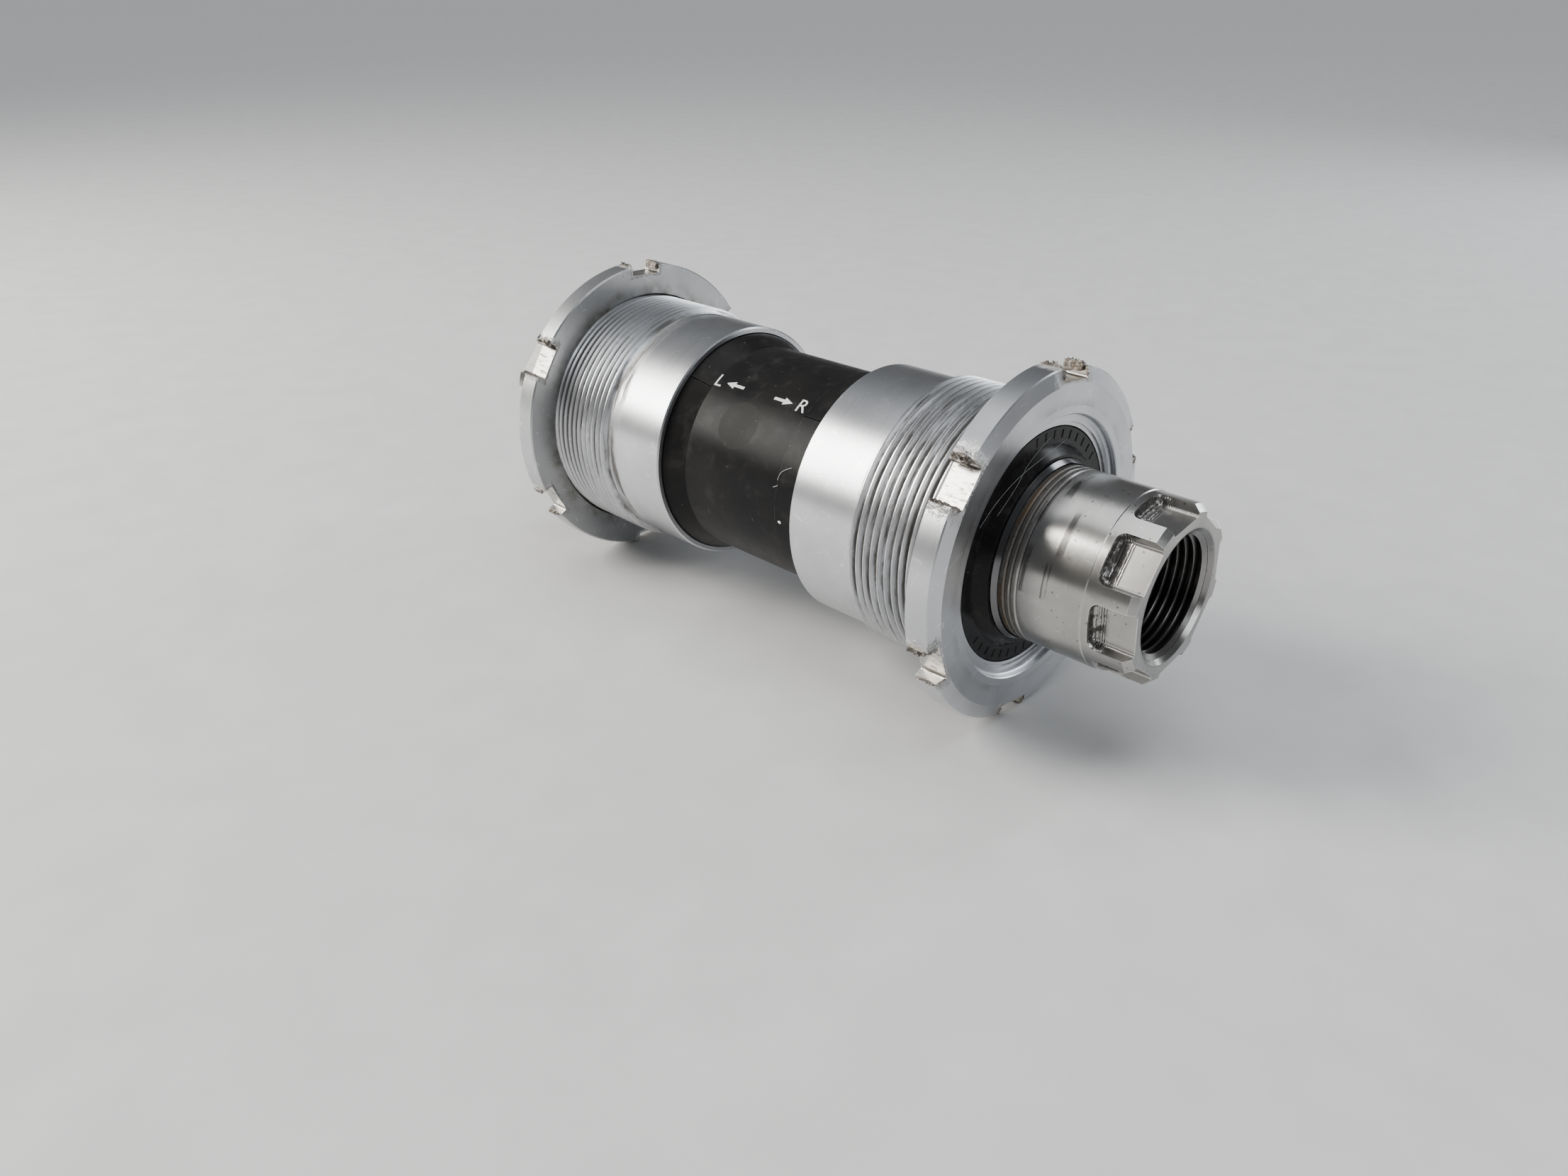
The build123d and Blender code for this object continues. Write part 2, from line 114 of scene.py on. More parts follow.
# short ways to build shader trees
def feed(tree, made, values):
    # a socket is linked, a plain value is set
    for key, value in values.items():
        if isinstance(value, bpy.types.NodeSocket):
            tree.links.new(value, made.inputs[key])
        else:
            made.inputs[key].default_value = value


def addNode(tree, kind, feeds=None, **settings):
    made = tree.nodes.new("ShaderNode" + kind)
    for name, value in settings.items():
        setattr(made, name, value)
    feed(tree, made, feeds or {})
    return made


def calc(tree, operation, *values):
    return addNode(tree, "Math", dict(enumerate(values)), operation=operation).outputs[0]


def times(tree, first, *others):
    for value in others:
        first = calc(tree, "MULTIPLY", first, value)
    return first


def fade(tree, value, low, high):
    # 0 below low and 1 above high; low may be the larger one
    feeds = {"Value": value, "From Min": low, "From Max": high}
    return addNode(tree, "MapRange", feeds, interpolation_type="SMOOTHSTEP").outputs["Result"]


def swing(tree, middle, value, amount):
    # middle, pushed up and down by a value that runs from 0 to 1
    return calc(tree, "ADD", middle, times(tree, calc(tree, "SUBTRACT", value, 0.5), amount))


def noiseOf(tree, point, scale, detail, roughness=0.5):
    feeds = {"Vector": point, "Scale": scale, "Detail": detail, "Roughness": roughness}
    return addNode(tree, "TexNoise", feeds).outputs[0]


def stretch(tree, point, factors):
    return addNode(tree, "VectorMath", {0: point, 1: factors}, operation="MULTIPLY").outputs[0]


def rgb(tone):
    return (tone[0], tone[1], tone[2], 1.0)


def blend(tree, share, first, second):
    feeds = {"Factor": share, 6: first, 7: second}
    return addNode(tree, "Mix", feeds, data_type="RGBA").outputs[2]


def paintOver(tree, tone, mask, share, shade):
    return blend(tree, times(tree, mask, share), tone, rgb(shade))


def newGroup(name, takes, gives):
    group = bpy.data.node_groups.new(name, "ShaderNodeTree")
    for label, value in takes.items():
        socket = group.interface.new_socket(label, in_out="INPUT", socket_type="NodeSocketFloat")
        socket.default_value = value
    for label, kind in gives.items():
        group.interface.new_socket(label, in_out="OUTPUT", socket_type="NodeSocket" + kind)
    return group, group.nodes.new("NodeGroupInput").outputs, group.nodes.new("NodeGroupOutput")


def giveOut(tree, out, **sockets):
    for label, socket in sockets.items():
        tree.links.new(socket, out.inputs[label])


def useGroup(tree, name, **values):
    made = tree.nodes.new("ShaderNodeGroup")
    made.node_tree = bpy.data.node_groups[name]
    feed(tree, made, values)
    return made.outputs


# where the mask of each shared effect begins and where it is full
levels = {
    "streak": (0.52, 0.72),
    "edge": (0.01, 0.12),
    "keptEdge": (0.62, 0.38),
    # the next two levels set the painted shade in corners and its patches
    "corner": (0.85, 0.35),
    "cornerShadePatch": (0.38, 0.58),
    "scratch": (0.022, 0.004),
    "unevenTone": (0.3, 0.7),
}


def makeTurnedPlace():
    # where a point is on a turned part, in millimetres: along the axle, out from it, and round it
    tree, _, out = newGroup("turnedPlace", {}, {"Along": "Float", "Radius": "Float", "Angle": "Float",
                                                "Ring": "Vector", "Place": "Vector"})
    place = addNode(tree, "TexCoord").outputs["Object"]
    scaled = addNode(tree, "VectorMath", {0: place, 3: 1 / mm}, operation="SCALE").outputs[0]
    across, along, up = addNode(tree, "SeparateXYZ", {0: scaled}).outputs
    radius = calc(tree, "SQRT", calc(tree, "ADD", times(tree, across, across), times(tree, up, up)))
    angle = times(tree, calc(tree, "ARCTAN2", up, across), 180 / math.pi)
    safe = calc(tree, "MAXIMUM", radius, 0.01)    # never divides by nothing on the axle itself
    ring = addNode(tree, "CombineXYZ", {0: calc(tree, "DIVIDE", across, safe), 1: along,
                                        2: calc(tree, "DIVIDE", up, safe)}).outputs[0]
    giveOut(tree, out, Along=along, Radius=radius, Angle=angle, Ring=ring, Place=scaled)


def makeTurnedLines():
    # fine rings left by the lathe; Lines is how close they lie, Break how soon one changes round the part
    tree, take, out = newGroup("turnedLines", {"Lines": 6.0, "Break": 1.5},
                               {"Height": "Float", "Streak": "Float"})
    place = useGroup(tree, "turnedPlace")
    across, along, up = addNode(tree, "SeparateXYZ", {0: place["Ring"]}).outputs
    feeds = {0: times(tree, across, take["Break"]), 1: times(tree, along, take["Lines"]),
             2: times(tree, up, take["Break"])}
    point = addNode(tree, "CombineXYZ", feeds).outputs[0]
    feeds = {"Vector": point, "W": times(tree, place["Radius"], take["Lines"]), "Scale": 1.0, "Detail": 3.0,
             "Roughness": 0.6}
    fine = addNode(tree, "TexNoise", feeds, noise_dimensions="4D").outputs[0]
    giveOut(tree, out, Height=fine, Streak=fade(tree, fine, *levels["streak"]))


def makeEdgeWear():
    # mask of sharp edges, broken up so that the wear isn't even. Width is in millimetres
    tree, take, out = newGroup("edgeWear", {"Width": 0.12, "Breakup": 0.5}, {"Mask": "Float"})
    soft = addNode(tree, "Bevel", {"Radius": times(tree, take["Width"], mm)}, samples=6).outputs[0]
    flat = addNode(tree, "NewGeometry").outputs["Normal"]
    match = addNode(tree, "VectorMath", {0: soft, 1: flat}, operation="DOT_PRODUCT").outputs["Value"]
    patch = noiseOf(tree, useGroup(tree, "turnedPlace")["Place"], 0.9, 4.0)
    edge = fade(tree, calc(tree, "SUBTRACT", 1.0, match), *levels["edge"])
    spared = times(tree, take["Breakup"], fade(tree, patch, *levels["keptEdge"]))
    giveOut(tree, out, Mask=times(tree, edge, calc(tree, "SUBTRACT", 1.0, spared)))


def makeCornerShade():
    # mask of painted shade in the corners and roots, where little light reaches, broken into patches. Reach is
    # in millimetres
    tree, take, out = newGroup("cornerShade", {"Reach": 1.0, "Patches": 0.35}, {"Mask": "Float"})
    reach = times(tree, take["Reach"], mm)
    openness = addNode(tree, "AmbientOcclusion", {"Distance": reach}, samples=8).outputs["AO"]
    patch = noiseOf(tree, useGroup(tree, "turnedPlace")["Place"], take["Patches"], 5.0, 0.65)
    corner = fade(tree, openness, *levels["corner"])
    giveOut(tree, out, Mask=times(tree, corner, fade(tree, patch, *levels["cornerShadePatch"])))


def makeScratches():
    # thin lines at all angles. Spacing is in millimetres, Share is how much of them stays
    tree, take, out = newGroup("scratches", {"Spacing": 2.0, "Share": 0.4}, {"Mask": "Float"})
    place = useGroup(tree, "turnedPlace")["Place"]
    density = calc(tree, "DIVIDE", 1.0, take["Spacing"])
    level = calc(tree, "SUBTRACT", 0.75, times(tree, take["Share"], 0.4))
    found = []
    for angle, closeness in ((0.35, 0.9), (1.9, 1.3)):    # two layers that cross each other
        feeds = {"Vector": place, "Axis": (0.4, 0.5, 0.77), "Angle": angle}
        turned = addNode(tree, "VectorRotate", feeds).outputs[0]
        bent = addNode(tree, "TexNoise", {"Vector": turned, "Scale": 0.35, "Detail": 1.0}).outputs["Color"]
        moved = addNode(tree, "VectorMath", {0: turned, 1: bent}, operation="ADD").outputs[0]
        feeds = {"Vector": stretch(tree, moved, (0.22, 1.0, 1.0)), "Scale": times(tree, density, closeness)}
        cells = addNode(tree, "TexVoronoi", feeds, feature="DISTANCE_TO_EDGE").outputs["Distance"]
        kept = calc(tree, "GREATER_THAN", noiseOf(tree, turned, 0.55, 2.0), level)
        found.append(times(tree, fade(tree, cells, *levels["scratch"]), kept))
    giveOut(tree, out, Mask=calc(tree, "MAXIMUM", *found))


def makeSpecks():
    # small round specks, pits or dust. Spacing and Size are in millimetres, Share is how many cells hold one
    tree, take, out = newGroup("specks", {"Spacing": 1.2, "Size": 0.1, "Share": 0.2}, {"Mask": "Float"})
    density = calc(tree, "DIVIDE", 1.0, take["Spacing"])
    feeds = {"Vector": useGroup(tree, "turnedPlace")["Place"], "Scale": density}
    cells = addNode(tree, "TexVoronoi", feeds).outputs
    speck = calc(tree, "LESS_THAN", cells["Distance"], calc(tree, "DIVIDE", take["Size"], take["Spacing"]))
    pick = addNode(tree, "SeparateXYZ", {0: cells["Color"]}).outputs[0]
    giveOut(tree, out, Mask=times(tree, speck, calc(tree, "LESS_THAN", pick, take["Share"])))


def makeGrain():
    # fine even grain, as on a blasted, anodised or moulded surface. Size is in millimetres
    tree, take, out = newGroup("grain", {"Size": 0.08}, {"Height": "Float", "Tone": "Float"})
    place = useGroup(tree, "turnedPlace")["Place"]
    fine = noiseOf(tree, place, calc(tree, "DIVIDE", 1.0, take["Size"]), 2.0)
    wide = noiseOf(tree, place, 0.11, 4.0)
    giveOut(tree, out, Height=fine, Tone=fade(tree, wide, *levels["unevenTone"]))


def makeNotchWear():
    # Bare is 1 inside the spanner notches of a rim; Around fades out from them. Degrees and millimetres
    tree, take, out = newGroup("notchWear", {"Count": 6.0, "First": 0.0, "HalfWidth": 2.6, "Floor": 20.2,
                                             "Reach": 2.0}, {"Bare": "Float", "Around": "Float"})
    place = useGroup(tree, "turnedPlace")
    turns = times(tree, calc(tree, "SUBTRACT", place["Angle"], take["First"]), math.pi / 180)
    near = calc(tree, "ARCCOSINE", calc(tree, "COSINE", times(tree, turns, take["Count"])))
    gap = times(tree, calc(tree, "DIVIDE", near, take["Count"]), place["Radius"])
    inside = calc(tree, "LESS_THAN", gap, calc(tree, "ADD", take["HalfWidth"], 0.06))
    aboveFloor = calc(tree, "GREATER_THAN", place["Radius"], calc(tree, "SUBTRACT", take["Floor"], 0.05))
    spread = times(tree, take["Reach"], noiseOf(tree, place["Place"], 1.6, 4.0, 0.7))
    beside = fade(tree, calc(tree, "SUBTRACT", gap, take["HalfWidth"]), spread, 0.0)
    onRim = fade(tree, place["Radius"], calc(tree, "SUBTRACT", take["Floor"], 0.35),
                 calc(tree, "ADD", take["Floor"], 0.1))
    giveOut(tree, out, Bare=times(tree, inside, aboveFloor), Around=times(tree, beside, onRim))


def newMaterial(name, **fixed):
    material = bpy.data.materials.new(name)
    material.use_nodes = True
    tree = material.node_tree
    shader = tree.nodes["Principled BSDF"]
    for key, value in fixed.items():
        shader.inputs[key.replace("_", " ")].default_value = value
    return material, tree, shader


def setShader(tree, shader, tone, roughness, normal):
    tree.links.new(tone, shader.inputs["Base Color"])
    tree.links.new(roughness, shader.inputs["Roughness"])
    tree.links.new(normal, shader.inputs["Normal"])


def bumped(tree, height, strength, depth, before=None):
    # depth is in millimetres; before is the normal that this bump lies on
    feeds = {"Height": height, "Strength": strength, "Distance": depth * mm}
    if before is not None:
        feeds["Normal"] = before
    return addNode(tree, "Bump", feeds).outputs[0]


alloyFinish = {
    "cup": {"tone": (0.64, 0.65, 0.67), "shade": (0.53, 0.54, 0.56), "roughness": 0.29, "notchAngle": 21.7,
            "halfWidth": 2.65, "floor": 20.2, "reach": 3.4, "filmFrom": (18.6, 17.3), "filmShare": 0.4},
    "ring": {"tone": (0.60, 0.61, 0.62), "shade": (0.48, 0.49, 0.50), "roughness": 0.33, "notchAngle": 27.5,
             "halfWidth": 2.5, "floor": 20.6, "reach": 2.0, "filmFrom": (20.6, 17.6), "filmShare": 0.85},
    # the dark dirt tone serves for thread dirt, pits and painted shade in the corners
    "tones": {"dirtAndShade": (0.045, 0.037, 0.026), "film": (0.16, 0.145, 0.105), "bare": (0.56, 0.545, 0.515),
              "torn": (0.13, 0.105, 0.085), "edge": (0.96, 0.96, 0.95), "scratch": (0.90, 0.90, 0.90)},
    "shares": {"edge": 0.9, "scratch": 0.5, "corners": 0.8, "pits": 0.85, "threadDirt": 0.8},
    # where each patchy layer begins in its noise and where it is full
    "scuffFrom": (0.42, 0.52), "tornFrom": (0.38, 0.50), "patchesFrom": (0.34, 0.72),
    "threadDirtFrom": (0.38, 0.62),
    # strength and depth in mm
    "bumps": {"lines": (0.2, 0.012), "grain": (0.25, 0.008), "scuff": (0.9, 0.25), "notch": (0.3, 0.06)},
    # radii of the thread, its ends and its dirtiest turns, all in mm and from the middle of the axle
    "thread": {"crest": 17.3, "root": 16.95, "starts": (21.4, 21.6), "stops": (34.7, 34.5),
               "dirtiest": (28.5, 32.5), "extraDirt": 0.2},
}


def makeThreadDirt(tree, place):
    # dirt in the roots of the thread, thickest near the flange and near the lock ring
    thread = alloyFinish["thread"]
    fromMiddle = calc(tree, "ABSOLUTE", place["Along"])
    roots = times(tree, fade(tree, fromMiddle, *thread["starts"]), fade(tree, fromMiddle, *thread["stops"]),
                  fade(tree, place["Radius"], thread["crest"], thread["root"]))
    drift = noiseOf(tree, stretch(tree, place["Ring"], (1.7, 0.9, 1.7)), 1.3, 7.0, 0.7)
    crowded = times(tree, fade(tree, fromMiddle, *thread["dirtiest"]), thread["extraDirt"])
    return times(tree, roots, fade(tree, calc(tree, "ADD", drift, crowded), *alloyFinish["threadDirtFrom"]))


def makeAlloy(name, finish):
    tones, shares, bumps = alloyFinish["tones"], alloyFinish["shares"], alloyFinish["bumps"]
    material, tree, shader = newMaterial(name, Metallic=1.0)
    place = useGroup(tree, "turnedPlace")
    grain = useGroup(tree, "grain", Size=0.05)
    lines = useGroup(tree, "turnedLines", Lines=9.0, Break=1.2)
    wear = useGroup(tree, "edgeWear", Width=0.14, Breakup=0.45)["Mask"]
    # painted shade in the corners and roots, in patches
    corners = useGroup(tree, "cornerShade", Reach=0.6, Patches=0.28)["Mask"]
    marks = useGroup(tree, "scratches", Spacing=3.4, Share=0.35)["Mask"]
    pits = useGroup(tree, "specks", Spacing=1.7, Size=0.08, Share=0.16)["Mask"]
    notch = useGroup(tree, "notchWear", First=finish["notchAngle"], HalfWidth=finish["halfWidth"],
                     Floor=finish["floor"], Reach=finish["reach"])
    # bare metal in the notches, torn metal beside them
    torn = noiseOf(tree, stretch(tree, place["Place"], (2.6, 0.6, 2.6)), 1.0, 6.0, 0.72)
    beside = times(tree, notch["Around"], calc(tree, "SUBTRACT", 1.0, notch["Bare"]))
    scuff = times(tree, beside, fade(tree, torn, *alloyFinish["scuffFrom"]))
    bareTone = blend(tree, fade(tree, torn, *alloyFinish["tornFrom"]), rgb(tones["torn"]), rgb(tones["bare"]))
    # a thin film of old grease that spreads out from the thread over the faces
    patches = noiseOf(tree, place["Place"], 0.26, 6.0, 0.62)
    film = times(tree, fade(tree, place["Radius"], *finish["filmFrom"]),
                 fade(tree, patches, *alloyFinish["patchesFrom"]),
                 calc(tree, "GREATER_THAN", place["Radius"], alloyFinish["thread"]["crest"]))
    # grime holds pits and thread dirt together with the painted corner shade
    grime = calc(tree, "MAXIMUM", times(tree, corners, shares["corners"]), times(tree, pits, shares["pits"]))
    grime = calc(tree, "MAXIMUM", grime, times(tree, makeThreadDirt(tree, place), shares["threadDirt"]))
    tone = blend(tree, grain["Tone"], rgb(finish["tone"]), rgb(finish["shade"]))
    tone = blend(tree, calc(tree, "MAXIMUM", notch["Bare"], scuff), tone, bareTone)
    tone = paintOver(tree, tone, wear, shares["edge"], tones["edge"])
    tone = paintOver(tree, tone, marks, shares["scratch"], tones["scratch"])
    tone = paintOver(tree, tone, film, finish["filmShare"], tones["film"])
    tone = blend(tree, grime, tone, rgb(tones["dirtAndShade"]))
    rough = swing(tree, finish["roughness"], lines["Height"], 0.10)
    rough = calc(tree, "ADD", rough, times(tree, grime, 0.35))
    rough = calc(tree, "SUBTRACT", rough, times(tree, wear, 0.08))
    normal = bumped(tree, lines["Height"], *bumps["lines"])
    normal = bumped(tree, grain["Height"], *bumps["grain"], normal)
    normal = bumped(tree, times(tree, torn, scuff), *bumps["scuff"], normal)
    normal = bumped(tree, times(tree, torn, notch["Bare"]), *bumps["notch"], normal)
    setShader(tree, shader, tone, rough, normal)
    return material


tornFinish = {"edgeTone": (0.80, 0.79, 0.77), "edgeShare": 0.4, "roughness": 0.24, "uneven": 0.3,
              "tornFrom": (0.44, 0.68), "bump": (0.8, 0.15)}


def makeTornMetal():
    # the dull bruised metal of the burrs at the spanner notches
    material, tree, shader = newMaterial("tornMetal", Metallic=1.0)
    torn = noiseOf(tree, useGroup(tree, "turnedPlace")["Place"], 2.4, 6.0, 0.75)
    wear = useGroup(tree, "edgeWear", Width=0.08, Breakup=0.5)["Mask"]
    tones = alloyFinish["tones"]
    tone = blend(tree, fade(tree, torn, *tornFinish["tornFrom"]), rgb(tones["torn"]), rgb(tones["bare"]))
    tone = paintOver(tree, tone, wear, tornFinish["edgeShare"], tornFinish["edgeTone"])
    rough = calc(tree, "ADD", tornFinish["roughness"], times(tree, torn, tornFinish["uneven"]))
    setShader(tree, shader, tone, rough, bumped(tree, torn, *tornFinish["bump"]))
    return material


steelFinish = {
    "bearing": {"tone": (0.68, 0.68, 0.69), "shade": (0.55, 0.545, 0.54), "roughness": 0.16, "lines": 14.0,
                "depth": 0.006, "oilFrom": 35.0},    # mm from the middle, where the seal runs
    "cage": {"tone": (0.46, 0.45, 0.43), "shade": (0.34, 0.33, 0.31), "roughness": 0.34, "lines": 5.0,
             "depth": 0.01},
    "spring": {"tone": (0.16, 0.16, 0.17), "shade": (0.10, 0.10, 0.11), "roughness": 0.38, "lines": 6.0,
               "depth": 0.01},
    # the oil tone also paints shade in the corners
    "tones": {"edge": (0.85, 0.85, 0.84), "oilAndShade": (0.06, 0.05, 0.035), "darkOil": (0.055, 0.055, 0.06)},
    "shares": {"edge": 0.5, "oilAndShade": 0.6, "darkOil": 0.85},
}


def makeSteel(name, finish):
    tones, shares = steelFinish["tones"], steelFinish["shares"]
    material, tree, shader = newMaterial(name, Metallic=1.0)
    grain = useGroup(tree, "grain", Size=0.04)
    lines = useGroup(tree, "turnedLines", Lines=finish["lines"], Break=1.6)
    wear = useGroup(tree, "edgeWear", Width=0.06, Breakup=0.5)["Mask"]
    # painted shade in the corners and roots, in an oily brown and in patches
    oilAndShade = useGroup(tree, "cornerShade", Reach=0.8, Patches=0.5)["Mask"]
    tone = blend(tree, grain["Tone"], rgb(finish["tone"]), rgb(finish["shade"]))
    tone = paintOver(tree, tone, wear, shares["edge"], tones["edge"])
    tone = paintOver(tree, tone, oilAndShade, shares["oilAndShade"], tones["oilAndShade"])
    if "oilFrom" in finish:
        fromMiddle = calc(tree, "ABSOLUTE", useGroup(tree, "turnedPlace")["Along"])
        outside = fade(tree, fromMiddle, finish["oilFrom"], finish["oilFrom"] + 1)
        tone = paintOver(tree, tone, outside, shares["darkOil"], tones["darkOil"])
    rough = swing(tree, finish["roughness"], lines["Height"], 0.2)
    setShader(tree, shader, tone, rough, bumped(tree, lines["Height"], 0.4, finish["depth"]))
    return material


spindleFinish = {
    "tone": (0.45, 0.44, 0.425), "shade": (0.34, 0.33, 0.315), "roughness": 0.22,
    # distances from the middle of the spindle, in mm
    "sealTrack": ((38.4, 38.6), (41.6, 39.6)),     # where the stain starts and where it ends
    "rustTrack": (39.5, 38.7),
    "bareLength": ((40.0, 42.0), (48.9, 47.5)),
    "grooveEnds": (49.83, (51.75, 50.75)),         # inner ends of the spline grooves
    "grooveRadii": (8.8, (10.5, 10.1)),            # mm from the axle
    "boreRadii": (8.3, 8.0),
    # rubbed spots: place along the axle, angle round it, half width in mm and half length in degrees
    "scuffs": ((-44.9, 138, 0.55, 17), (-44.2, 171, 0.45, 15), (-40.6, 118, 0.8, 22), (-41.3, 168, 0.5, 20),
               (-42.4, 101, 0.6, 17), (43.6, 40, 0.5, 18), (41.9, -60, 0.6, 24), (-43.4, -70, 0.6, 20)),
    # each layer of marks: its tone and how strongly it shows
    "bands": ((0.30, 0.29, 0.28), 0.04),
    "scratches": ((0.82, 0.82, 0.81), 0.35),
    "edges": ((0.93, 0.93, 0.92), 0.75),
    "stain": ((0.10, 0.09, 0.08), 0.8),
    "rust": ((0.20, 0.115, 0.045), 0.8),
    "rubbed": ((0.08, 0.077, 0.073), 0.8),
    "grime": ((0.05, 0.045, 0.04), 0.85),
    # the pits tone also paints the shade in the corners
    "pits": ((0.05, 0.045, 0.04), 0.75),
    # painted shade inside the bore
    "shadedBore": ((0.16, 0.155, 0.15), 0.55),
    # where each patchy layer begins in its noise and where it is full
    "stainFrom": (0.34, 0.54), "rustFrom": (0.5, 0.62), "smudgeFrom": (0.55, 0.62), "streaksFrom": (0.34, 0.50),
    "scuffsFrom": (0.36, 0.52), "grimeFrom": (0.42, 0.56),
    "bumps": {"grain": (0.06, 0.006), "chatter": (0.55, 0.12)},    # strength and depth in mm
}


def makeRubbed(tree, place, fromMiddle, bands):
    # smudges and rubbed spots on the bare length between the cone and the splines
    finish = spindleFinish
    start, stop = finish["bareLength"]
    smudge = noiseOf(tree, stretch(tree, place["Ring"], (2.4, 0.62, 2.4)), 1.0, 7.0, 0.75)
    rubbed = times(tree, fade(tree, fromMiddle, *start), fade(tree, fromMiddle, *stop),
                   fade(tree, smudge, *finish["smudgeFrom"]), bands["Streak"])
    streaks = useGroup(tree, "turnedLines", Lines=2.6, Break=0.9)["Height"]
    broken = times(tree, fade(tree, streaks, *finish["streaksFrom"]), fade(tree, smudge, *finish["scuffsFrom"]))
    for along, angle, wide, long in finish["scuffs"]:
        beside = calc(tree, "ABSOLUTE", calc(tree, "SUBTRACT", place["Along"], along))
        roundIt = calc(tree, "ABSOLUTE", calc(tree, "SUBTRACT", place["Angle"], angle))
        scuff = times(tree, fade(tree, beside, wide, wide * 0.6), fade(tree, roundIt, long, long * 0.7), broken)
        rubbed = calc(tree, "MAXIMUM", rubbed, scuff)
    return rubbed


def makeGrooveEnds(tree, place, fromMiddle):
    # the chattered run-out of the cutter at the inner end of each spline groove: zone, noise and waves
    along, alongFade = spindleFinish["grooveEnds"]
    radius, radiusFade = spindleFinish["grooveRadii"]
    zone = times(tree, fade(tree, fromMiddle, *alongFade), calc(tree, "GREATER_THAN", fromMiddle, along),
                 fade(tree, place["Radius"], *radiusFade), calc(tree, "GREATER_THAN", place["Radius"], radius))
    chatter = noiseOf(tree, place["Place"], 0.8, 4.0, 0.6)
    feeds = {"Vector": place["Place"], "Scale": 1.1, "Distortion": 3.2, "Detail": 2.0, "Detail Scale": 1.4}
    waves = addNode(tree, "TexWave", feeds, bands_direction="Y").outputs["Fac"]
    return zone, chatter, waves


def makeSpindleSteel():
    finish = spindleFinish
    material, tree, shader = newMaterial("spindleSteel", Metallic=1.0)
    place = useGroup(tree, "turnedPlace")
    fromMiddle = calc(tree, "ABSOLUTE", place["Along"])
    grain = useGroup(tree, "grain", Size=0.04)
    lines = useGroup(tree, "turnedLines", Lines=7.0, Break=1.4)
    bands = useGroup(tree, "turnedLines", Lines=1.6, Break=1.1)
    # the seal's track: dark rings and brown stain beside the cone
    start, stop = finish["sealTrack"]
    track = times(tree, fade(tree, fromMiddle, *start), fade(tree, fromMiddle, *stop))
    patch = noiseOf(tree, place["Ring"], 1.7, 6.0, 0.7)
    zone, chatter, waves = makeGrooveEnds(tree, place, fromMiddle)
    # painted shade in the corners and roots, in patches
    dirtAndShade = useGroup(tree, "cornerShade", Reach=0.7, Patches=0.7)["Mask"]
    specks = useGroup(tree, "specks", Spacing=1.0, Size=0.11, Share=0.9)["Mask"]
    masks = {    # painted in this order
        "bands": bands["Streak"],
        "scratches": useGroup(tree, "scratches", Spacing=2.2, Share=0.3)["Mask"],
        "edges": useGroup(tree, "edgeWear", Width=0.18, Breakup=0.3)["Mask"],
        "stain": times(tree, track, fade(tree, patch, *finish["stainFrom"])),
        "rust": times(tree, track, fade(tree, fromMiddle, *finish["rustTrack"]),
                      fade(tree, patch, *finish["rustFrom"])),
        "rubbed": makeRubbed(tree, place, fromMiddle, bands),
        "grime": times(tree, zone, fade(tree, chatter, *finish["grimeFrom"])),
        # the pits layer holds real pits and the painted corner shade
        "pits": calc(tree, "MAXIMUM", dirtAndShade, specks),
        # painted shade: darker inside the bore
        "shadedBore": fade(tree, place["Radius"], *finish["boreRadii"]),
    }
    tone = blend(tree, grain["Tone"], rgb(finish["tone"]), rgb(finish["shade"]))
    for layer, mask in masks.items():
        shade, share = finish[layer]
        tone = paintOver(tree, tone, mask, share, shade)
    rough = swing(tree, finish["roughness"], lines["Height"], 0.06)
    rough = calc(tree, "ADD", rough, times(tree, calc(tree, "MAXIMUM", masks["stain"], masks["grime"]), 0.3))
    normal = bumped(tree, grain["Height"], *finish["bumps"]["grain"])
    cut = times(tree, calc(tree, "ADD", waves, chatter), zone)
    normal = bumped(tree, cut, *finish["bumps"]["chatter"], normal)
    setShader(tree, shader, tone, rough, normal)
    return material


plasticFinish = {
    "sleeve": {"tone": (0.009, 0.009, 0.010), "shade": (0.016, 0.015, 0.014), "roughness": 0.34, "grain": 0.16,
               "dust": 0.5, "shine": 0.08,
               "mark": ((14.5, 143.9, 2.0), 3.3)},    # the round mould mark: radius, angle, along; and its size
    "cover": {"tone": (0.006, 0.006, 0.007), "shade": (0.010, 0.0095, 0.009), "roughness": 0.20, "grain": 0.12,
              "dust": 0.45, "shine": 0.16},
    "rubber": {"tone": (0.005, 0.005, 0.005), "shade": (0.009, 0.0085, 0.008), "roughness": 0.26, "grain": 0.10,
               "dust": 0.7, "shine": 0.16},
    "nylon": {"tone": (0.62, 0.58, 0.47), "shade": (0.50, 0.46, 0.36), "roughness": 0.45, "grain": 0.12,
              "dust": 0.2, "shine": 0.5},
    "tones": {"mark": (0.032, 0.031, 0.028), "film": (0.075, 0.073, 0.069), "dust": (0.45, 0.44, 0.42)},
    "shares": {"mark": 0.6, "film": 0.35, "scratch": 0.35, "dust": 0.6},
    "filmFrom": (0.50, 0.72),
    "bumps": {"grain": (0.25, 0.012), "scratch": (0.4, 0.02)},    # strength and depth in mm
}


